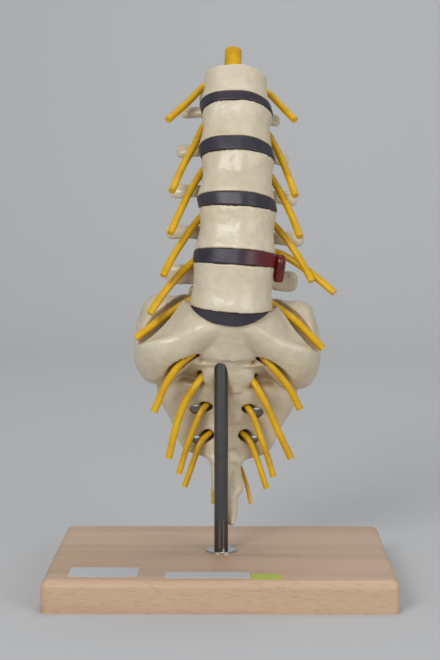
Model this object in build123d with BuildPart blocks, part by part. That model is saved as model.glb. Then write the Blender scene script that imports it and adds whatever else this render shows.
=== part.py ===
from build123d import *
import os
from math import cos, radians, sin, tan

# Lumbar spine with sacrum and coccyx on a stand. Millimetres, +Z up, front of the spine towards -Y,
# origin at the centre of the board's underside.

# Board
board_width = 215
board_depth = 165
board_thickness = 20
board_edge_radius = 5
board_corner_radius = 5

# Rod, its flange and the screw that holds them down
rod_diameter = 9
rod_top = 160
rod_seat_depth = 10
rod_clearance = 0.1
flange_diameter = 20
flange_thickness = 1.3
flange_bevel = 0.4
screw_diameter = 5
screw_thread_length = 12
screw_head_diameter = 9
screw_head_height = 3
washer_diameter = 15
washer_thickness = 1.5
counterbore_diameter = 17
counterbore_depth = 6

# Labels on the board: middle in x and y, width and depth
label_thickness = 0.2
label_places = {
    "label_left": (-70.8, -59.6, 42, 23.5),
    "label_middle": (-7.9, -67.2, 51, 15.5),
    "label_right": (27.7, -70.8, 17.8, 13),
}

# Upper end face of the sacrum: middle, tip to the front, and how the whole sacrum leans and turns
sacrum_x = 5.5
sacrum_y = -1.6
sacrum_z = 171.4
sacral_tilt = -20
sacral_lean = 2.5
sacral_turn = 1.5
sacral_rim = 53.5
sacral_dish = 6.5
sacral_face_rise = 2.8
sacral_face_clearance = 0.2

# Discs, from the lowest up: thickness in the middle, and how many degrees they open to the front
disc_names = ["disc_L5_S1", "disc_L4_L5", "disc_L3_L4", "disc_L2_L3", "disc_L1_L2"]
disc_thickness = [3.4, 7.5, 6.8, 7.8, 6.5]
disc_wedge = [13, 6.5, 6.5, 6, 1]
disc_proud = 0.7
disc_edge_radius = 1.0

# Vertebrae, from the lowest up
vertebra_names = ["L5", "L4", "L3", "L2", "L1"]
body_height = [27, 27.3, 26.7, 25.2, 21.2]
body_wedge = [10, 0.5, 3.5, 3, 2]
lower_rim = [52.5, 51, 48.8, 46.3, 45]
upper_rim = [51.5, 49, 46.5, 45.5, 41]
waist_share = [0.96, 0.94, 0.93, 0.93, 0.95]
level_x = [7.2, 9.9, 10.0, 9.7, 9.0]
level_lean = [4, 4, 4, 4.5, 5]
level_turn = [2, 2.5, 3.5, 3.5, 5.5]
depth_share = 0.70
front_share = 0.56

# Arch behind each body, in that vertebra's own directions
canal_half_width = 11.5
canal_depth = 15
pedicle_width = 7
pedicle_height = 12
pedicle_rise = 4
lamina_thickness = 6
lamina_height = 19
lamina_rise = -2
transverse_reach = [43, 45, 42, 37, 33]
transverse_height = [14, 10, 10, 9.5, 9]
transverse_thickness = 6.5
transverse_sweep = 5
transverse_rise = [3, 1, -2, -4, -3]
spine_length = [22, 27, 30, 29, 27]
spine_height = 18
spine_thickness = 6.5
facet_half_gap = [17, 14.5, 13.5, 13, 12.5]
sacral_facet_half_gap = 18.4
sacral_facet_root = 10
sacral_notch = -6
facet_thickness = 8
facet_overlap = 5
facet_clearance = 0.4

# Sacrum and coccyx: length of each segment's front, its slope from the vertical, and its sideways drift
segment_length = [24.8, 27.1, 23.6, 17, 11.7, 38]
segment_slope = [32, 34, 28, 10, -8, -22]
segment_drift = [0, 0.8, 1.0, 0.2, 0.5, 4.5]

# Prolapsed core of the fourth disc, on the model's left
nucleus_x = 28.8
nucleus_y = 2
nucleus_clearance = 0.05

# Dural sac: a tube down to the first sacral segment, then a tail given by station, distance behind
# the sacrum's front, and diameter
sac_diameter = 11.3
sac_gap = 1.2
sac_overhang = 36
sac_tail = [(1.2, 37, 11.3), (1.6, 32.5, 10), (2.2, 26, 8.2), (3, 19.5, 6.4), (4, 13.5, 5), (4.6, 10.5, 4)]
sac_clearance = 2
canal_clearance = 0.8
sacral_canal_width = 26
sacral_canal_depth = 14
hiatus_width = 6

# Nerves: diameter, and the line of each from the sac outwards, in its level's own directions
# (the lumbar ones) or in the sacrum's upright ones. The first point lies in the middle of the sac.
lumbar_nerves = {
    "T12": (4, 4.6, 22, [(-13, 17.5, 17), (-20, 16.5, 13), (-29, 13.5, -2), (-42.5, 8.5, -21)],
            [(14, 17.5, 17), (24, 16.5, 13), (32, 12.5, 0.5), (40.5, 8.5, -12)]),
    "L1": (4, 4.6, -2,
           [(-13, 17.5, -9), (-19, 16.5, -19), (-24, 14.5, -35), (-31, 12.5, -52), (-37.5, 8.5, -74)],
           [(13, 17.5, -9), (23, 16.5, -17), (31, 14.5, -34), (37, 12, -52), (41.5, 8.5, -69.5)]),
    "L2": (3, 4.6, -3,
           [(-13, 18, -11), (-20, 17, -22), (-27, 14, -38.5), (-32, 11.5, -53), (-38, 9, -72)],
           [(14, 18, -11), (24, 17, -20), (33, 14.5, -37.5), (39, 12, -52), (44, 9, -67.5)]),
    "L3": (2, 4.6, -4,
           [(-13, 18, -12), (-21, 17.5, -21), (-27, 15.5, -30.5), (-37, 12.5, -49), (-43, 9.5, -64)],
           [(14, 18, -12), (26, 17.5, -22), (36, 15.5, -34), (45, 13, -48), (51.5, 9.5, -61)]),
    "L4": (1, 4.8, -3,
           [(-14, 18.5, -10), (-24, 18, -17), (-33, 16, -26.5), (-43, 13.5, -40), (-51.5, 10, -55)],
           [(16, 18.5, -7), (29, 18, -9.5), (38, 15.5, -14), (52, 11, -23.5), (65, 7, -34)]),
    "L5": (0, 4.8, -1, [(-15, 19, -7), (-28, 18.5, -14), (-42, 15.5, -24), (-59, 10.5, -39)],
           [(15, 19, -6), (28, 18.5, -12), (43, 15.5, -21), (61.5, 10.5, -37.5)]),
}
sacral_nerves = {
    "S1": (0.95, 4.6, [(-22.4, -4, -23.8), (-30.5, -3.5, -31), (-39, 0, -44.5), (-45.5, 3, -63)],
           [(23.8, -4, -25.8), (31, -3.5, -33.5), (41, 0, -45), (47.5, 3, -57.5)]),
    "S2": (1.5, 4.6, [(-19, 6, -44.3), (-25.5, 7, -55), (-31, 10, -71.8), (-35, 12, -94)],
           [(19.5, 6, -44.8), (26.5, 7, -56.5), (35.5, 10, -75), (44, 12, -91)]),
    "S3": (2.4, 4, [(-15, 15, -62), (-19, 15.5, -72.8), (-24, 17, -88), (-28, 18, -105)],
           [(17.5, 15, -62.4), (22.5, 15.5, -74.8), (28.5, 17, -90), (33.5, 18, -104.5)]),
    "S4": (3.2, 3.8, [(-14.5, 21.5, -82.8), (-18, 20.5, -94), (-24, 21, -114)],
           [(17, 21.5, -81.2), (22, 20.5, -92.5), (29.5, 21, -113)]),
    "S5": (3.8, 2.6, [(-2.5, 42.3, -89.5), (-5.5, 39, -100), (-5, 31, -114), (-5, 28, -126)],
           [(6.5, 42.3, -89.5), (11.5, 39, -100), (17, 31, -113), (20, 28, -125)]),
}
nerve_clearance = 0.5
foramen_clearance = 2
wing_groove = 14

# Holes through the sacrum beside the third and fourth segments: x to each side, z, and diameter
through_holes = [(-19, -61.5, 7), (21.5, -62, 7), (-17.5, -83, 5), (20.5, -81.5, 5)]

os.makedirs("parts", exist_ok=True)


def frame_at(x, y, z, tilt, lean, turn):
    """Plane whose normal tips back by tilt and to +X by lean, turned about the vertical by turn."""
    return Plane(Location((x, y, z), (-tilt, lean, turn), Extrinsic.XYZ))


def local(frame, x=0, y=0, z=0, turn=(0, 0, 0)):
    """A plane given in another plane's own directions."""
    return Plane(frame.location * Location((x, y, z), turn))


def side_plane(frame, x):
    """Plane across a frame at x, seen from the side: its x is the frame's y, its y the frame's z."""
    return Plane(origin=local(frame, x).origin, x_dir=frame.y_dir, z_dir=frame.x_dir)


def kidney(plane, width, depth):
    """Outline of a vertebral end face: a rounded front and a slightly hollow back."""
    front = front_share * depth
    back = depth - front
    with BuildSketch(plane) as outline:
        with BuildLine():
            Spline(
                (0, -front),
                (0.36 * width, -0.69 * front),
                (0.5 * width, 0),
                (0.37 * width, 0.86 * back),
                (0, 0.9 * back),
                (-0.37 * width, 0.86 * back),
                (-0.5 * width, 0),
                (-0.36 * width, -0.69 * front),
                periodic=True,
            )
        make_face()
    return outline.sketch


def oval(plane, width, height):
    """An ellipse on a plane, by its full width along x and height along y."""
    with BuildSketch(plane) as outline:
        Ellipse(width / 2, height / 2)
    return outline.sketch


def closed_curve(plane, points):
    """A smooth closed outline through a few points."""
    with BuildSketch(plane) as outline:
        with BuildLine():
            Spline(*points, periodic=True)
        make_face()
    return outline.sketch


# A section plane's turn inside a frame, so that its normal points back, and the way solids stand on a level
facing_back = (-90, 0, 0)
up = (Align.CENTER, Align.CENTER, Align.MIN)


# Walk up the column from the sacrum: each disc and body adds its height and its wedge
level_frames = []
lower_faces = []
upper_faces = []
walk_y = sacrum_y
walk_z = sacrum_z + sacral_face_rise
walk_tilt = sacral_tilt
for level in range(len(vertebra_names)):
    middle_tilt = walk_tilt + disc_wedge[level] / 2
    walk_y += disc_thickness[level] * sin(radians(middle_tilt))
    walk_z += disc_thickness[level] * cos(radians(middle_tilt))
    walk_tilt += disc_wedge[level] + body_wedge[level] / 2
    half = body_height[level] / 2
    walk_y += half * sin(radians(walk_tilt))
    walk_z += half * cos(radians(walk_tilt))
    frame = frame_at(level_x[level], walk_y, walk_z, walk_tilt, level_lean[level], level_turn[level])
    level_frames.append(frame)
    lower_faces.append(local(frame, z=-half, turn=(body_wedge[level] / 2, 0, 0)))
    upper_faces.append(local(frame, z=half, turn=(-body_wedge[level] / 2, 0, 0)))
    walk_y += half * sin(radians(walk_tilt))
    walk_z += half * cos(radians(walk_tilt))
    walk_tilt += body_wedge[level] / 2

# The sacrum stands in an upright frame at its end face, and its first segment also counts as a level
sacrum_frame = frame_at(sacrum_x, sacrum_y, sacrum_z, 0, sacral_lean, sacral_turn)
sacral_face = local(sacrum_frame, z=sacral_face_rise, turn=(-sacral_tilt, 0, 0))
sacral_level = local(sacral_face, z=-body_height[0] / 2)


def sacral_trough(mode):
    """The shallow trough that hollows the sacrum's end face from front to back and shapes the disc on it."""
    half_width = sacral_rim / 2
    radius = (half_width**2 + sacral_dish**2) / (2 * sacral_dish)
    length = 2.4 * depth_share * sacral_rim
    middle = (0.5 - front_share) * depth_share * sacral_rim
    with Locations(local(sacral_face, y=middle, z=radius, turn=facing_back)):
        Cylinder(radius, length, mode=mode)


def back_of_body(level):
    """How far behind a body's middle its back face lies; level -1 is the sacrum."""
    rim = lower_rim[level] if level >= 0 else sacral_rim
    return (1 - front_share) * depth_share * rim


def clear_lowest_vertebra():
    """Trim the lips beside the trough where the lowest vertebra rests on them."""
    margin = 2.5
    width = sacral_rim + 2 * margin
    depth = depth_share * lower_rim[0] + 2 * margin
    middle = (0.5 - front_share) * depth_share * lower_rim[0]
    with Locations(local(lower_faces[0], y=middle, z=-sacral_face_clearance)):
        Box(width, depth, 2 * sacral_dish, align=up, mode=Mode.SUBTRACT)


def arch_frame(level):
    """A level's own frame, the sacrum's first segment being level -1."""
    return level_frames[level] if level >= 0 else sacral_level


def half_gap(level):
    """Half the space between a level's upward facets."""
    return facet_half_gap[level] if level >= 0 else sacral_facet_half_gap


def facet_top(level):
    """Height of a level's upward facets above the middle of its body."""
    height = body_height[level] if level >= 0 else body_height[0]
    return height / 2 + facet_overlap


def add_body(level):
    """Drum of a vertebra: wide rims and a waist."""
    lower = lower_rim[level]
    upper = upper_rim[level]
    waist = waist_share[level] * (lower + upper) / 2
    frame = level_frames[level]
    near_rim = 0.78
    half = near_rim * body_height[level] / 2
    wedge = near_rim * body_wedge[level] / 2
    loft([
        kidney(lower_faces[level], lower, depth_share * lower),
        kidney(local(frame, z=-half, turn=(wedge, 0, 0)), 0.99 * lower, 0.99 * depth_share * lower),
        kidney(frame, waist, 0.97 * depth_share * waist),
        kidney(local(frame, z=half, turn=(-wedge, 0, 0)), 0.99 * upper, 0.99 * depth_share * upper),
        kidney(upper_faces[level], upper, depth_share * upper),
    ])


def add_pedicle(level, side):
    """Short bar from the body's back corner to the arch."""
    frame = level_frames[level]
    back = back_of_body(level)
    x = side * (canal_half_width + pedicle_width / 2)
    sections = []
    for share, y, rise in [(0.85, -9, 0), (0.97, 1, 0), (1, canal_depth - 3, -1)]:
        plane = local(frame, share * x, back + y, pedicle_rise + rise, facing_back)
        sections.append(oval(plane, pedicle_width, pedicle_height))
    loft(sections)


def add_lamina(level):
    """The two plates behind the canal, as one bow from side to side."""
    reach = canal_half_width + pedicle_width / 2
    bow = []
    right = [(0.6, 0.98, -35), (1.1, 0.62, -40)]
    left = [(-share, behind, -turn) for share, behind, turn in reversed(right)]
    for share, behind, turn in left + [(0, 1.22, 0)] + right:
        y = back_of_body(level) + behind * canal_depth
        plane = local(arch_frame(level), share * reach, y, lamina_rise, (0, 90, 0))
        bow.append(oval(local(plane, turn=(-turn, 0, 0)), lamina_height, lamina_thickness))
    loft(bow)


def add_transverse(level, side):
    """Side bar, flattened front to back, that sweeps back a little towards its tip."""
    y = back_of_body(level) + 0.45 * canal_depth
    root = canal_half_width
    reach = transverse_reach[level] - root
    sections = []
    shares = [(0, 1.2, 1.2), (0.35, 0.9, 1), (0.75, 1, 0.9), (0.94, 0.85, 0.75), (1, 0.45, 0.4)]
    for share, height, thickness in shares:
        x = side * (root + share * reach)
        behind = y + share * transverse_sweep
        plane = local(level_frames[level], x, behind, transverse_rise[level], (0, 90 * side, 0))
        sections.append(oval(plane, height * transverse_height[level], thickness * transverse_thickness))
    loft(sections)


def add_spine(level):
    """Hatchet-shaped process in the middle of the back."""
    y = back_of_body(level) + 1.1 * canal_depth
    sections = []
    shares = [(0, 0, 1, 1.1), (0.4, -2, 0.95, 0.75), (0.85, -4, 1.05, 0.95), (1, -4, 0.8, 0.6)]
    for share, rise, height, width in shares:
        plane = local(level_frames[level], 0, y + share * spine_length[level], rise, facing_back)
        sections.append(oval(plane, width * spine_thickness, height * spine_height))
    loft(sections)


def add_upper_facet(level, side):
    """Blade that rises from the arch and holds the facet of the level above."""
    x = side * (half_gap(level) + facet_thickness / 2)
    y = back_of_body(level) + 0.75 * canal_depth
    top = facet_top(level)
    sections = []
    root = pedicle_rise - 5
    levels = [(root, -2, 1.3, 1.3), (0.6 * top, 0, 1.15, 1.35), (top - 2, 0, 1, 1.1), (top, 0, 0.6, 0.6)]
    for z, dx, width, depth in levels:
        plane = local(arch_frame(level), x + side * dx, y, z)
        sections.append(oval(plane, width * facet_thickness, depth * facet_thickness))
    loft(sections)


def add_lower_facet(level, side):
    """Blade that hangs from the arch between the facets of the level below."""
    x = side * (half_gap(level - 1) - facet_thickness / 2)
    y = back_of_body(level) + 0.9 * canal_depth
    sections = []
    levels = [(lamina_rise, -2, 1.1, 1.1), (-14, 0, 1.15, 1.2), (-24, 0, 1.05, 1.1), (-28, 0, 0.7, 0.7)]
    for z, dx, width, depth in levels:
        plane = local(level_frames[level], x + side * dx, y, z)
        sections.append(oval(plane, width * facet_thickness, depth * facet_thickness))
    loft(sections)


def clear_between_facets(level):
    """Cut the flat, inward faces of a level's own upward facets."""
    bottom = lamina_rise + lamina_height / 2 + 0.5 if level >= 0 else sacral_notch
    top = facet_top(level) + 2
    y = back_of_body(level) + 0.75 * canal_depth
    with Locations(local(arch_frame(level), 0, y, (top + bottom) / 2)):
        Box(2 * half_gap(level), 2.5 * facet_thickness, top - bottom, mode=Mode.SUBTRACT)


def clear_level_below(level):
    """Cut an arch free of the arch under it: above its lamina and inside its upward facets."""
    frame = arch_frame(level - 1)
    y = back_of_body(level - 1) + 0.75 * canal_depth
    lamina_top = lamina_rise + lamina_height / 2 + 2 * facet_clearance
    facet = facet_top(level - 1) + facet_clearance
    deep = 2.5 * facet_thickness
    wall = facet_thickness + 2
    with Locations(local(frame, 0, y, lamina_top - deep / 2)):
        Box(2 * (half_gap(level - 1) + wall), deep, deep, mode=Mode.SUBTRACT)
    for side in (-1, 1):
        x = side * (half_gap(level - 1) - facet_clearance + wall / 2)
        with Locations(local(frame, x, y, facet - deep / 2)):
            Box(wall, deep, deep, mode=Mode.SUBTRACT)


def make_vertebra(level):
    """One lumbar vertebra with its arch and processes."""
    with BuildPart() as bone:
        add_body(level)
        add_lamina(level)
        for side in (-1, 1):
            add_pedicle(level, side)
            add_transverse(level, side)
            add_upper_facet(level, side)
            add_lower_facet(level, side)
        add_spine(level)
        clear_between_facets(level)
        clear_level_below(level)
        cut_nerve_notches(level)
    bone.part.label = vertebra_names[level] + "_vertebra"
    return bone.part


def disc_drum(level, proud, mode=Mode.ADD):
    """Drum between a vertebra's lower face and what lies under it, a little wider than their rims."""
    below = upper_faces[level - 1] if level else sacral_face
    rim_below = upper_rim[level - 1] if level else sacral_rim
    width = (rim_below + lower_rim[level]) / 2 + 2 * proud
    ends = [kidney(face, width, depth_share * width) for face in (below, lower_faces[level])]
    loft(ends, mode=mode)


def make_disc(level):
    """Disc of a vertebra; the lowest one lies in the sacrum's trough."""
    with BuildPart() as disc:
        disc_drum(level, disc_proud)
        if level == 0:
            sacral_trough(Mode.INTERSECT)
        else:
            fillet(disc.edges(), disc_edge_radius)
    disc.part.label = disc_names[level]
    return disc.part


# Stations along the front of the sacrum, from its upper rim down to the coccyx's tip
rim_front = front_share * depth_share * sacral_rim
stations = [(0, -rim_front * cos(radians(sacral_tilt)), rim_front * sin(radians(sacral_tilt)))]
for length, slope, drift in zip(segment_length, segment_slope, segment_drift):
    x, y, z = stations[-1]
    stations.append((x + drift, y + length * sin(radians(slope)), z - length * cos(radians(slope))))


def sacral_plane(station, behind):
    """Plane across the sacrum: station 0 is the upper rim, 1 the end of the first segment, and so on."""
    index = min(int(station), len(segment_length) - 1)
    share = station - index
    x, y, z = (a + share * (b - a) for a, b in zip(stations[index], stations[index + 1]))
    slope = segment_slope[index]
    if share == 0 and index > 0:
        slope = (segment_slope[index - 1] + segment_slope[index]) / 2
    return local(local(sacrum_frame, x, y, z, (slope, 0, 0)), 0, behind)


def add_sacral_bodies():
    """Five bodies in a row, each with a rim that stands a little proud of the next."""
    rims = [sacral_rim, 41, 35, 30, 25, 16]
    depths = [depth_share * sacral_rim, 25, 19, 15, 12, 9]
    for index in range(5):
        lower = (rims[index + 1], depths[index + 1])
        if index == 0:
            upper = (rims[0], depths[0])
            top = kidney(local(sacral_face, z=sacral_dish), *upper)
        else:
            upper = (rims[index] - 3, depths[index] - 2)
            top = kidney(sacral_plane(index - 0.2, front_share * upper[1] + 1.5), *upper)
        waist = (0.47 * (upper[0] + lower[0]), 0.47 * (upper[1] + lower[1]))
        loft([
            top,
            kidney(sacral_plane(index + 0.5, front_share * waist[1] + 1.5), *waist),
            kidney(sacral_plane(index + 0.99, front_share * lower[1]), *lower),
        ])


def add_wings():
    """Both wings in one sweep from side to side, right through the first sacral body."""
    frame = sacral_plane(0, 0)
    half = [
        (0, [(8, 3), (20, 3), (37, -2), (42, -18), (26, -26), (9, -20)]),
        (14, [(6, 2), (20, 3), (39, -2), (44, -20), (26, -32), (6.5, -24)]),
        (26, [(5, -3), (22, 1), (43, -3), (49, -28), (26, -45), (4.5, -35)]),
        (37, [(6, -10), (23, -10), (50, -11), (55, -36), (28, -53), (5.5, -47)]),
        (47, [(7, -15), (25, -18), (53, -13), (57, -36), (30, -55), (7, -50)]),
        (55, [(10, -21), (27, -24), (53, -20), (56, -38), (32, -53), (10, -45)]),
        (60, [(18, -29), (30, -31), (46, -28), (47, -39), (33, -46), (18, -38)]),
    ]
    left = [(-x, outline) for x, outline in reversed(half[1:])]
    loft([closed_curve(side_plane(frame, x), outline) for x, outline in left + half])


def add_lateral_mass():
    """Flattened side parts of the second to fifth segments."""
    sections = []
    upper = [(1.2, 94, 42), (2, 96, 34), (2.6, 90, 27), (3.0, 80, 23)]
    lower = [(3.5, 69, 19), (4, 60, 15), (4.5, 32, 10), (4.95, 22, 8)]
    for station, width, depth in upper + lower:
        sections.append(oval(sacral_plane(station, depth / 2 + 2), width, depth))
    loft(sections)


def add_sacral_facet(side):
    """Upright stump that holds the lowest vertebra's facet."""
    x = side * (half_gap(-1) + facet_thickness / 2)
    y = back_of_body(-1) + 0.75 * canal_depth
    top = facet_top(-1)
    crown = 2.5
    width = 1.1 * facet_thickness
    depth = 1.3 * facet_thickness
    root = oval(local(sacral_level, x, y, -sacral_facet_root), width, depth)
    extrude(root, amount=top - crown + sacral_facet_root)
    loft([
        oval(local(sacral_level, x, y, top - crown), width, depth),
        oval(local(sacral_level, x, y, top), 0.6 * width, 0.6 * depth),
    ])


def add_sacral_roof():
    """Back wall over the sacral canal, and the crest along its middle."""
    roof = [(0.4, 50, 42, 11), (1.2, 46, 42, 11), (2.1, 35, 36, 12), (3.1, 24, 28, 9), (3.9, 18, 20, 6)]
    loft([oval(sacral_plane(station, behind), width, depth) for station, behind, width, depth in roof])
    for station, behind in [(0.95, 50), (1.6, 42), (2.4, 31)]:
        tubercle = []
        for rise, width, height in [(0, 11, 20), (5, 8, 16), (9, 6, 13), (11, 3, 7)]:
            plane = local(sacral_plane(station, behind + rise), turn=facing_back)
            tubercle.append(oval(plane, width, height))
        loft(tubercle)


def add_coccyx():
    """Four small fused bones, the first with a pair of horns, that bend forward and to one side."""
    first = [(4.8, 19, 8), (5.1, 21, 8), (5.38, 21, 7.5)]
    others = [(5.5, 13, 6.5), (5.75, 11, 6.5), (5.95, 6, 5), (6, 4, 4)]
    beads = [oval(sacral_plane(station, depth / 2), width, depth) for station, width, depth in first + others]
    loft(beads, ruled=True)


def bend_radii(points):
    """Radii that round each corner of a route as generously as its shorter run allows."""
    radii = []
    for before, corner, after in zip(points, points[1:], points[2:]):
        run_in = Vector(corner) - Vector(before)
        run_out = Vector(after) - Vector(corner)
        half_turn = radians(max(run_in.get_angle(run_out), 1)) / 2
        radii.append(0.45 * min(run_in.length, run_out.length) / tan(half_turn))
    return radii


def rod_along(points, diameter, mode=Mode.ADD):
    """Round rod, or a bore for one, along a route with rounded corners."""
    with BuildLine() as route:
        FilletPolyline(*points, radius=bend_radii(points))
    start = Plane(origin=route.line @ 0, z_dir=route.line % 0)
    with BuildSketch(start) as section:
        Circle(diameter / 2)
    sweep(section.sketch, path=route.line, mode=mode)
    return Plane(origin=route.line @ 1, z_dir=route.line % 1)


def sac_middle(station):
    """Middle of the sac's tail at a station of the sacrum."""
    for (s0, v0, _), (s1, v1, _) in zip(sac_tail, sac_tail[1:]):
        if station <= s1:
            break
    share = (station - s0) / (s1 - s0)
    return sacral_plane(station, v0 + share * (v1 - v0)).origin


def sac_behind(level):
    """How far the middle of the sac lies behind the middle of a body."""
    return back_of_body(level) + sac_gap + sac_diameter / 2


def sac_route():
    """Middle line of the sac, from its cut upper end down to its tail."""
    top = len(level_frames) - 1
    half = body_height[top] / 2
    points = [local(level_frames[top], 0, sac_behind(top), half + sac_overhang).origin]
    for level in range(top, -2, -1):
        points.append(local(arch_frame(level), 0, sac_behind(level)).origin)
    points.append(sac_middle(sac_tail[0][0]))
    return points


def make_sac():
    """Dural sac with its tail."""
    with BuildPart() as sac:
        end = rod_along(sac_route(), sac_diameter)
        tail = [oval(end, sac_diameter, sac_diameter)]
        for station, behind, size in sac_tail[1:]:
            tail.append(oval(local(sacral_plane(station, behind), turn=(180, 0, 0)), size, size))
        loft(tail)
    sac.part.label = "dural_sac"
    return sac.part


def lumbar_route(level, rise, line):
    """A lumbar nerve's route in the object's own directions."""
    frame = level_frames[level]
    return [local(frame, x, y, z).origin for x, y, z in [(0, sac_behind(level), rise)] + line]


def sacral_route(station, line):
    """A sacral nerve's route in the object's own directions."""
    return [sac_middle(station)] + [local(sacrum_frame, x, y, z).origin for x, y, z in line]


def make_nerve(name, route, diameter, sac):
    """One nerve, cut to lie against the sac."""
    with BuildPart() as nerve:
        rod_along(route, diameter)
        add(sac, mode=Mode.SUBTRACT)
    outer = nerve.part.solids().sort_by(SortBy.VOLUME)[-1]
    piece = Part(outer.wrapped)
    piece.label = name
    return piece


def cut_sacral_canal():
    """Canal behind the bodies: wide at the top, then a close bore round the sac's tail."""
    width = sacral_canal_width
    depth = sacral_canal_depth
    middle = sac_behind(-1) + 1
    canal = [
        oval(local(sacral_face, 0, middle, 20), 1.2 * width, 1.1 * depth),
        oval(local(sacral_level, 0, middle), width, depth),
    ]
    wider = [width - 1.4 * sac_diameter, 2, 0, 0, hiatus_width, hiatus_width, hiatus_width]
    for (station, behind, size), extra in zip(sac_tail + [(5, 9, sac_tail[-1][2])], wider):
        bore = size + 2 * sac_clearance
        canal.append(oval(sacral_plane(station, behind), bore + extra, bore))
    loft(canal, ruled=True, mode=Mode.SUBTRACT)


def cut_foramina():
    """A tunnel for each nerve that leaves through the bone, and the holes that go right through."""
    for name in ("S1", "S2", "S3", "S4"):
        station, diameter, left, right = sacral_nerves[name]
        for line in (left, right):
            rod_along(sacral_route(station, line), diameter + 2 * foramen_clearance, Mode.SUBTRACT)
    for x, z, diameter in through_holes:
        with Locations(local(sacrum_frame, x, 30, z, (98, 0, 0))):
            Cylinder(diameter / 2, 80, mode=Mode.SUBTRACT)


def cut_nerve_notches(level):
    """Room for the nerves that belong to a level and for the sac."""
    rod_along(sac_route(), sac_diameter + 2 * canal_clearance, Mode.SUBTRACT)
    for nerve_level, diameter, rise, left, right in lumbar_nerves.values():
        if nerve_level == level:
            for line in (left, right):
                rod_along(lumbar_route(level, rise, line), diameter + 2 * nerve_clearance, Mode.SUBTRACT)


def cut_rod_bore():
    """Blind bore for the rod, up to its top end."""
    with BuildSketch() as section:
        Circle(rod_diameter / 2 + rod_clearance)
    extrude(section.sketch, amount=rod_top, mode=Mode.SUBTRACT)


def make_sacrum():
    """Sacrum with the coccyx, as the one moulding that it is."""
    with BuildPart() as bone:
        add_wings()
        add_sacral_bodies()
        sacral_trough(Mode.SUBTRACT)
        clear_lowest_vertebra()
        add_lateral_mass()
        add_sacral_roof()
        for side in (-1, 1):
            add_sacral_facet(side)
        add_coccyx()
        clear_between_facets(-1)
        cut_sacral_canal()
        cut_foramina()
        level, diameter, rise, left, right = lumbar_nerves["L5"]
        for line in (left, right):
            rod_along(lumbar_route(level, rise, line), wing_groove, Mode.SUBTRACT)
        cut_rod_bore()
    bone.part.label = "sacrum_and_coccyx"
    return bone.part


def make_nucleus(neighbours):
    """Core that has burst out of the fourth disc and hangs down beside the vertebra under it."""
    middle = local(upper_faces[0], z=disc_thickness[1] / 2)
    sections = [(4.5, 5, 7), (2, 7.5, 12), (-4, 7.5, 12), (-9, 7, 9), (-13, 5, 5)]
    with BuildPart() as nucleus:
        loft([oval(local(middle, nucleus_x, nucleus_y, z), width, depth) for z, width, depth in sections])
        disc_drum(1, disc_proud + nucleus_clearance, Mode.SUBTRACT)
        add(neighbours, mode=Mode.SUBTRACT)
    nucleus.part.label = "herniated_nucleus"
    return nucleus.part


def make_board():
    """Beech board with rounded edges, a seat for the rod and a recess for its screw."""
    with BuildPart() as board:
        Box(board_width, board_depth, board_thickness, align=(Align.CENTER, Align.CENTER, Align.MIN))
        fillet(board.edges().filter_by(Axis.Z), board_corner_radius)
        fillet(board.faces().sort_by(Axis.Z)[-1].edges(), board_edge_radius)
        with Locations((0, 0, board_thickness - rod_seat_depth)):
            Cylinder(rod_diameter / 2 + rod_clearance, rod_seat_depth, align=up, mode=Mode.SUBTRACT)
        Cylinder(screw_diameter / 2 + rod_clearance, board_thickness, align=up, mode=Mode.SUBTRACT)
        Cylinder(counterbore_diameter / 2, counterbore_depth, align=up, mode=Mode.SUBTRACT)
    board.part.label = "base_board"
    return board.part


def make_rod():
    """Chromed rod with a tapped hole in its lower end."""
    bottom = board_thickness - rod_seat_depth
    with BuildPart() as rod:
        with Locations((0, 0, bottom)):
            Cylinder(rod_diameter / 2, rod_top - bottom, align=up)
            Cylinder(screw_diameter / 2, screw_thread_length, align=up, mode=Mode.SUBTRACT)
    rod.part.label = "stand_rod"
    return rod.part


def make_flange():
    """Thin collar round the rod, on top of the board."""
    with BuildPart() as flange:
        with Locations((0, 0, board_thickness)):
            Cylinder(flange_diameter / 2, flange_thickness, align=up)
            Cylinder(rod_diameter / 2 + rod_clearance, flange_thickness, align=up, mode=Mode.SUBTRACT)
        rim = flange.edges().filter_by(GeomType.CIRCLE).group_by(Axis.Z)[-1].sort_by(SortBy.RADIUS)[-1]
        chamfer(rim, flange_bevel)
    flange.part.label = "rod_flange"
    return flange.part


def make_washer():
    """Washer in the recess under the board."""
    with BuildPart() as washer:
        with Locations((0, 0, counterbore_depth - washer_thickness)):
            Cylinder(washer_diameter / 2, washer_thickness, align=up)
            Cylinder(screw_diameter / 2 + rod_clearance, washer_thickness, align=up, mode=Mode.SUBTRACT)
    washer.part.label = "base_washer"
    return washer.part


def make_screw():
    """Screw that pulls the rod down into the board."""
    under_head = counterbore_depth - washer_thickness
    tip = board_thickness - rod_seat_depth + screw_thread_length
    with BuildPart() as screw:
        with Locations((0, 0, under_head - screw_head_height)):
            Cylinder(screw_head_diameter / 2, screw_head_height, align=up)
        fillet(screw.faces().sort_by(Axis.Z)[0].edges(), screw_head_height / 3)
        with Locations((0, 0, under_head)):
            Cylinder(screw_diameter / 2, tip - under_head, align=up)
    screw.part.label = "base_screw"
    return screw.part


def make_label(name, x, y, width, depth):
    """Blank paper label on the board."""
    with BuildPart() as label:
        with Locations((x, y, board_thickness)):
            Box(width, depth, label_thickness, align=up)
    label.part.label = name
    return label.part


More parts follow.
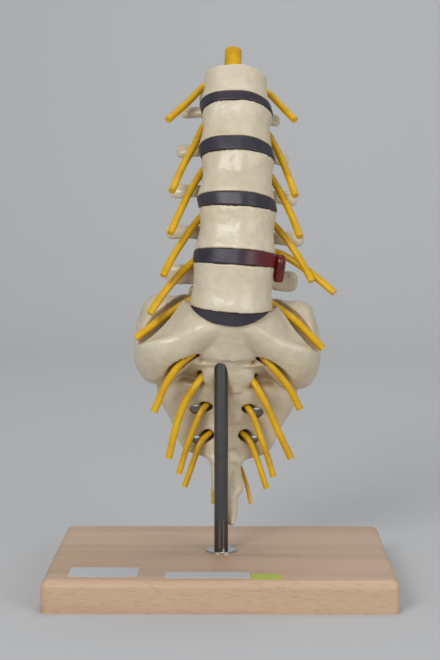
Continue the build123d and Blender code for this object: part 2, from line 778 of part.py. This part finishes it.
sac = make_sac()
sacrum = make_sacrum()
vertebrae = [make_vertebra(level) for level in range(len(vertebra_names))]
discs = [make_disc(level) for level in range(len(vertebra_names))]
pieces = [make_board(), make_rod(), make_flange(), make_washer(), make_screw(), sac, sacrum]
pieces += vertebrae + discs
pieces.append(make_nucleus([vertebrae[0], vertebrae[1]]))
for name, place in label_places.items():
    pieces.append(make_label(name, *place))
for name, (level, diameter, rise, left, right) in lumbar_nerves.items():
    pieces.append(make_nerve("nerve_" + name + "_left", lumbar_route(level, rise, left), diameter, sac))
    pieces.append(make_nerve("nerve_" + name + "_right", lumbar_route(level, rise, right), diameter, sac))
for name, (station, diameter, left, right) in sacral_nerves.items():
    pieces.append(make_nerve("nerve_" + name + "_left", sacral_route(station, left), diameter, sac))
    pieces.append(make_nerve("nerve_" + name + "_right", sacral_route(station, right), diameter, sac))
for piece in pieces:
    export_step(piece, "parts/" + piece.label + ".step")
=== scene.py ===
import bpy
import bmesh
import math
from mathutils import Matrix, Vector


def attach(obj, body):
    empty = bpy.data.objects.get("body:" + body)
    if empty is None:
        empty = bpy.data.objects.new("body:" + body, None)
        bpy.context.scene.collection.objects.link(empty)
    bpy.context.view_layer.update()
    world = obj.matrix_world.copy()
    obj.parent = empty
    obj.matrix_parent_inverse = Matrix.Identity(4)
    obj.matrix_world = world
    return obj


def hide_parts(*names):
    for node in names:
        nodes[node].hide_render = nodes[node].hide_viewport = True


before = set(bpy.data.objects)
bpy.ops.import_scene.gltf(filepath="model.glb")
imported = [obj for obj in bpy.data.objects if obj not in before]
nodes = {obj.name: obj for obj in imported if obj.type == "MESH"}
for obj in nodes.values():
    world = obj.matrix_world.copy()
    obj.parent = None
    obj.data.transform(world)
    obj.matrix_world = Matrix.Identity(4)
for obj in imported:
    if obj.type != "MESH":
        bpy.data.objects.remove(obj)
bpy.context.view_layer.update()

mm = 0.001
vertebrae = ["L1_vertebra", "L2_vertebra", "L3_vertebra", "L4_vertebra", "L5_vertebra"]
sacrum = "sacrum_and_coccyx"
disc_nodes = [name for name in nodes if name.startswith("disc_")]
nerve_nodes = [name for name in nodes if name.startswith("nerve_")]

# The cast surface of the bones: grid of the remesh and passes of softening.
voxel_vertebra = 0.00075
voxel_sacrum = 0.00095
passes_vertebra = 5
passes_sacrum = 7
softening = 0.5
lump_size = 0.011
lump_detail = 3
lump_height = 0.0011
lump_middle = 0.5

# Bulges that fill the fronts of the sacrum's first and second segments: the middle and the radii
# in millimetres, and the tilt in degrees.
sacrum_fillers = [
    ((4.6, -3.6, 149), (19, 5.5, 11), 32),
    ((4.4, 6.5, 132), (17, 5.5, 14), 34),
]

# Plain colours.
# Painted shade: the rod's chrome is darkened to stand for the dark room it reflects; the flange
# keeps the chrome's own grey.
chrome_in_shade = (0.13, 0.125, 0.12)
chrome_in_light = (0.55, 0.55, 0.55)
zinc_grey = (0.52, 0.52, 0.53)
paper_white = (0.50, 0.51, 0.53)
paper_green = (0.42, 0.52, 0.07)
backdrop_grey = (0.52, 0.525, 0.53)
sky_grey = (0.75, 0.77, 0.80)
sky_strength = 0.5
no_change = (1, 1, 1)

# Fine wear in the metals, as the scale of its noise.
polish_wear = 160
zinc_wear = 400

# The backdrop sheet: half its width, its front edge, its wall, the bend between floor and wall.
backdrop_width = 4.0
backdrop_front = -2.6
backdrop_wall = 2.3
backdrop_bend = 0.9
backdrop_top = 3.2
backdrop_steps = 12

# The lamps aim at the model's lower half, at its middle or at the backdrop's wall.
aim_low = (0, 0, 0.15)
aim_middle = (0, 0, 0.2)
aim_wall = (0, 2.3, 0.7)

# The camera, fitted to the photo; its turn is in degrees.
camera_place = (0.0094, -1.055, 0.2545)
camera_turn = (85.03, 0, 0.55)
camera_lens = 90.8
camera_film = 36


def material(name):
    """New node material; returns it with its tree and its shader."""
    made = bpy.data.materials.new(name)
    made.use_nodes = True
    tree = made.node_tree
    return made, tree, tree.nodes["Principled BSDF"]


def set_inputs(target, values):
    """Set plain values on a node's inputs, by their names."""
    for name, value in values.items():
        target.inputs[name].default_value = value


def object_space(tree):
    """The object's own coordinates, as a socket."""
    return tree.nodes.new("ShaderNodeTexCoord").outputs["Object"]


def stretched(tree, space, scale):
    """Coordinates scaled by axis."""
    made = tree.nodes.new("ShaderNodeMapping")
    made.inputs["Scale"].default_value = scale
    tree.links.new(space, made.inputs["Vector"])
    return made.outputs["Vector"]


def noise(tree, space, scale, detail, roughness, distortion=0.0):
    """Value of a noise over the given coordinates."""
    made = tree.nodes.new("ShaderNodeTexNoise")
    set_inputs(made, {
        "Scale": scale, "Detail": detail, "Roughness": roughness, "Distortion": distortion,
    })
    tree.links.new(space, made.inputs["Vector"])
    return made.outputs["Fac"]


def ramp(tree, source, stops):
    """Colour ramp over a value."""
    made = tree.nodes.new("ShaderNodeValToRGB")
    elements = made.color_ramp.elements
    while len(elements) < len(stops):
        elements.new(0.5)
    for element, (position, colour) in zip(elements, stops):
        element.position = position
        element.color = (*colour, 1)
    tree.links.new(source, made.inputs["Fac"])
    return made.outputs["Color"]


def uneven(tree, source, darkest, colour):
    """One colour that darkens by a share where the value is low."""
    return ramp(tree, source, [(0.3, tuple(darkest * c for c in colour)), (0.6, colour)])


def mix(tree, factor, a, b, blend="MIX"):
    """Colour mix; factor is a socket or a number, a and b are sockets or colours."""
    made = tree.nodes.new("ShaderNodeMix")
    made.data_type = "RGBA"
    made.blend_type = blend
    for socket, value in ((made.inputs[0], factor), (made.inputs[6], a), (made.inputs[7], b)):
        if isinstance(value, bpy.types.NodeSocket):
            tree.links.new(value, socket)
        elif isinstance(value, (int, float)):
            socket.default_value = value
        else:
            socket.default_value = (*value, 1)
    return made.outputs[2]


def bump(tree, shader, height, strength, distance):
    """Bump from a height socket into the shader."""
    made = tree.nodes.new("ShaderNodeBump")
    set_inputs(made, {"Strength": strength, "Distance": distance})
    tree.links.new(height, made.inputs["Height"])
    tree.links.new(made.outputs["Normal"], shader.inputs["Normal"])


def value_range(tree, source, low, high, start=0.0, end=1.0):
    """Value mapped from start..end to low..high."""
    made = tree.nodes.new("ShaderNodeMapRange")
    set_inputs(made, {"From Min": start, "From Max": end, "To Min": low, "To Max": high})
    tree.links.new(source, made.inputs["Value"])
    return made.outputs["Result"]


def colour_and_gloss(tree, shader, colour, gloss):
    """Link a colour, and a roughness that is a socket, or set one that is a number."""
    tree.links.new(colour, shader.inputs["Base Color"])
    if isinstance(gloss, float):
        shader.inputs["Roughness"].default_value = gloss
    else:
        tree.links.new(gloss, shader.inputs["Roughness"])


def bone_material():
    """Cream cast plastic: faint mottling, painted shade that browns the hollows, a soft gloss."""
    made, tree, shader = material("bone")
    space = object_space(tree)
    large = noise(tree, space, 28, 5, 0.6, 0.4)
    fine = noise(tree, space, 210, 4, 0.6)
    cream = [
        (0.30, (0.55, 0.465, 0.33)),
        (0.52, (0.61, 0.53, 0.39)),
        (0.75, (0.67, 0.595, 0.455)),
    ]
    specks = [(0.35, (0.90, 0.87, 0.82)), (0.6, no_change)]
    hollow_painted_shade = [(0.22, (0.26, 0.14, 0.06)), (0.5, (0.74, 0.61, 0.45)), (0.85, no_change)]
    colour = mix(tree, 0.5, ramp(tree, large, cream), ramp(tree, fine, specks), "MULTIPLY")
    # Painted shade: hollows found by ambient occlusion are darkened to a warm brown that stands for
    # shadow and the nerves' yellow bounce light.
    hollow = tree.nodes.new("ShaderNodeAmbientOcclusion")
    hollow.inputs["Distance"].default_value = 0.012
    hollow.samples = 8
    colour = mix(tree, 0.9, colour, ramp(tree, hollow.outputs["AO"], hollow_painted_shade), "MULTIPLY")
    colour_and_gloss(tree, shader, colour, value_range(tree, fine, 0.22, 0.42))
    set_inputs(shader, {
        "Subsurface Weight": 0.08,
        "Subsurface Radius": (0.004, 0.0025, 0.0015),
        "Subsurface Scale": 1.0,
    })
    grain = noise(tree, space, 420, 3, 0.5)
    pits = noise(tree, space, 95, 4, 0.55)
    bump(tree, shader, mix(tree, 0.5, grain, pits), 0.28, 0.0007)
    return made


def disc_material(name, stained):
    """Dark grey rubber with a violet cast; the stained one reddens towards +X."""
    made, tree, shader = material(name)
    space = object_space(tree)
    cloud = noise(tree, space, 60, 4, 0.6)
    colour = ramp(tree, cloud, [(0.3, (0.026, 0.023, 0.032)), (0.7, (0.050, 0.044, 0.058))])
    if stained:
        apart = tree.nodes.new("ShaderNodeSeparateXYZ")
        tree.links.new(space, apart.inputs["Vector"])
        share = value_range(tree, apart.outputs["X"], 0, 0.9, 0.010, 0.036)
        colour = mix(tree, share, colour, (0.16, 0.006, 0.006))
    colour_and_gloss(tree, shader, colour, value_range(tree, cloud, 0.28, 0.42))
    shader.inputs["Specular IOR Level"].default_value = 0.3
    bump(tree, shader, noise(tree, space, 300, 3, 0.5), 0.2, 0.0004)
    return made


def nerve_material():
    """Glossy yellow-orange soft plastic with slight streaks."""
    made, tree, shader = material("nerve")
    space = object_space(tree)
    yellows = [
        (0.3, (0.56, 0.30, 0.002)),
        (0.55, (0.67, 0.385, 0.003)),
        (0.8, (0.74, 0.45, 0.005)),
    ]
    colour_and_gloss(tree, shader, ramp(tree, noise(tree, space, 90, 3, 0.5), yellows), 0.3)
    set_inputs(shader, {
        "Specular IOR Level": 0.35,
        "Subsurface Weight": 0.12,
        "Subsurface Radius": (0.003, 0.002, 0.0002),
        "Subsurface Scale": 1.0,
    })
    bump(tree, shader, noise(tree, space, 260, 3, 0.5), 0.25, 0.0005)
    return made


def nucleus_material():
    """Dark, wet-looking red."""
    made, tree, shader = material("nucleus")
    cloud = noise(tree, object_space(tree), 180, 3, 0.5)
    reds = [(0.35, (0.07, 0.002, 0.002)), (0.7, (0.16, 0.006, 0.004))]
    colour_and_gloss(tree, shader, ramp(tree, cloud, reds), 0.25)
    bump(tree, shader, cloud, 0.4, 0.001)
    return made


def wood_material():
    """Oiled beech: faint growth bands along the board and the short dark flecks of its rays."""
    made, tree, shader = material("wood")
    space = object_space(tree)
    bands = noise(tree, stretched(tree, space, (2.2, 34, 34)), 1, 5, 0.6, 0.6)
    flecks = noise(tree, stretched(tree, space, (150, 1500, 1500)), 1, 2, 0.5)
    browns = [
        (0.3, (0.42, 0.27, 0.165)),
        (0.5, (0.53, 0.36, 0.235)),
        (0.72, (0.61, 0.43, 0.29)),
    ]
    darks = [(0.34, (0.74, 0.64, 0.55)), (0.46, no_change)]
    colour = mix(tree, 0.45, ramp(tree, bands, browns), ramp(tree, flecks, darks), "MULTIPLY")
    colour_and_gloss(tree, shader, colour, value_range(tree, flecks, 0.36, 0.5))
    bump(tree, shader, flecks, 0.12, 0.0004)
    return made


def metal_material(name, colour, roughness, wear_scale):
    """Bright metal with fine wear in its gloss."""
    made, tree, shader = material(name)
    wear = noise(tree, object_space(tree), wear_scale, 4, 0.6)
    gloss = value_range(tree, wear, 0.8 * roughness, 1.3 * roughness)
    colour_and_gloss(tree, shader, uneven(tree, wear, 0.86, colour), gloss)
    shader.inputs["Metallic"].default_value = 1.0
    return made


def paper_material(name, colour):
    """Plain paper with a faint fibre."""
    made, tree, shader = material(name)
    fibre = noise(tree, object_space(tree), 700, 3, 0.6)
    colour_and_gloss(tree, shader, uneven(tree, fibre, 0.92, colour), 0.6)
    bump(tree, shader, fibre, 0.1, 0.0002)
    return made


def plain_material(name, colour):
    """Matt, even colour."""
    made, tree, shader = material(name)
    set_inputs(shader, {"Base Color": (*colour, 1), "Roughness": 0.9})
    return made


def dress(thing, finish):
    """Give an object one material in place of what it has."""
    thing.data.materials.clear()
    thing.data.materials.append(finish)


def smooth_shade(mesh):
    """Shade all faces of a mesh smooth."""
    for polygon in mesh.polygons:
        polygon.use_smooth = True


def show(name, data):
    """New object in the scene."""
    thing = bpy.data.objects.new(name, data)
    bpy.context.scene.collection.objects.link(thing)
    return thing


def apply_modifiers(thing):
    """Replace an object's mesh by its evaluated one."""
    depsgraph = bpy.context.evaluated_depsgraph_get()
    mesh = bpy.data.meshes.new_from_object(thing.evaluated_get(depsgraph))
    old = thing.data
    thing.modifiers.clear()
    thing.data = mesh
    bpy.data.meshes.remove(old)


def add_fillers(thing, fillers):
    """Join rounded bulges to a mesh, each given in the shared frame."""
    shape = bmesh.new()
    shape.from_mesh(thing.data)
    for middle, radii, tilt in fillers:
        size = Matrix.Diagonal((*(mm * r for r in radii), 1))
        turn = Matrix.Rotation(math.radians(tilt), 4, "X")
        move = Matrix.Translation([mm * v for v in middle])
        placed = thing.matrix_world.inverted() @ move @ turn @ size
        bmesh.ops.create_icosphere(shape, subdivisions=4, radius=1, matrix=placed)
    shape.to_mesh(thing.data)
    shape.free()


def cast_bone(node_name, voxel, passes, finish, fillers=()):
    """A bone's cast surface in place of its node: remeshed, softened and gently uneven."""
    source = nodes[node_name]
    name = node_name.replace("_vertebra", "_bone").replace("_and_coccyx", "_bone")
    thing = show(name, source.data.copy())
    thing.matrix_world = source.matrix_world.copy()
    add_fillers(thing, fillers)
    remesh = thing.modifiers.new("remesh", "REMESH")
    remesh.mode = "VOXEL"
    remesh.voxel_size = voxel
    remesh.use_smooth_shade = True
    smooth = thing.modifiers.new("smooth", "SMOOTH")
    smooth.factor = softening
    smooth.iterations = passes
    apply_modifiers(thing)
    lumps = bpy.data.textures.new("lumps_" + node_name, "CLOUDS")
    lumps.noise_scale = lump_size
    lumps.noise_depth = lump_detail
    swell = thing.modifiers.new("swell", "DISPLACE")
    swell.texture = lumps
    swell.texture_coords = "LOCAL"
    swell.strength = lump_height
    swell.mid_level = lump_middle
    apply_modifiers(thing)
    smooth_shade(thing.data)
    dress(thing, finish)
    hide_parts(node_name)
    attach(thing, "root")


def sweep_backdrop():
    """Floor that curves up into a wall behind the object, as one sheet."""
    bend_start = backdrop_wall - backdrop_bend
    profile = [(backdrop_front, 0.0), (bend_start, 0.0)]
    for step in range(1, backdrop_steps + 1):
        angle = math.radians(90 * step / backdrop_steps)
        profile.append((
            bend_start + backdrop_bend * math.sin(angle),
            backdrop_bend - backdrop_bend * math.cos(angle),
        ))
    profile.append((backdrop_wall, backdrop_top))
    vertices = [(side * backdrop_width, y, z) for y, z in profile for side in (-1, 1)]
    faces = [(2 * i, 2 * i + 1, 2 * i + 3, 2 * i + 2) for i in range(len(profile) - 1)]
    mesh = bpy.data.meshes.new("backdrop")
    mesh.from_pydata(vertices, [], faces)
    smooth_shade(mesh)
    thing = show("backdrop", mesh)
    dress(thing, plain_material("backdrop", backdrop_grey))


def lamp(name, place, aim, size, power):
    """Soft square lamp that points at a spot."""
    light = bpy.data.lights.new(name, "AREA")
    light.shape = "SQUARE"
    light.size = size
    light.energy = power
    thing = show(name, light)
    thing.location = place
    direction = Vector(aim) - Vector(place)
    thing.rotation_euler = direction.to_track_quat("-Z", "Y").to_euler()


bone = bone_material()
for name in vertebrae:
    cast_bone(name, voxel_vertebra, passes_vertebra, bone)
cast_bone(sacrum, voxel_sacrum, passes_sacrum, bone, sacrum_fillers)

rubber = disc_material("disc", False)
for name in disc_nodes:
    dress(nodes[name], rubber)
dress(nodes["disc_L4_L5"], disc_material("disc_stained", True))
yellow = nerve_material()
for name in nerve_nodes + ["dural_sac"]:
    dress(nodes[name], yellow)
dress(nodes["herniated_nucleus"], nucleus_material())
dress(nodes["base_board"], wood_material())
# The rod's chrome carries painted shade, a dark reflection of the room, unlike the flange's.
dress(nodes["stand_rod"], metal_material("chrome_rod", chrome_in_shade, 0.1, polish_wear))
dress(nodes["rod_flange"], metal_material("chrome", chrome_in_light, 0.12, polish_wear))
zinc = metal_material("zinc", zinc_grey, 0.3, zinc_wear)
dress(nodes["base_screw"], zinc)
dress(nodes["base_washer"], zinc)
white = paper_material("white_paper", paper_white)
dress(nodes["label_left"], white)
dress(nodes["label_middle"], white)
dress(nodes["label_right"], paper_material("green_paper", paper_green))

sweep_backdrop()
lamp("key", (-0.7, -1.5, 0.95), aim_low, 0.7, 16)
lamp("fill", (1.1, -1.3, 0.55), aim_low, 0.9, 9)
lamp("top", (0.1, 0.1, 1.5), aim_middle, 0.9, 2.5)
lamp("back", (0.3, 0.9, 1.9), aim_wall, 0.8, 12)
world = bpy.data.worlds.new("world")
world.use_nodes = True
set_inputs(world.node_tree.nodes["Background"], {"Color": (*sky_grey, 1), "Strength": sky_strength})
bpy.context.scene.world = world
bpy.context.scene.view_settings.view_transform = "Standard"

camera_data = bpy.data.cameras.new("camera")
camera_data.lens = camera_lens
camera_data.sensor_width = camera_film
camera = show("camera", camera_data)
camera.location = camera_place
camera.rotation_euler = [math.radians(angle) for angle in camera_turn]
bpy.context.scene.camera = camera
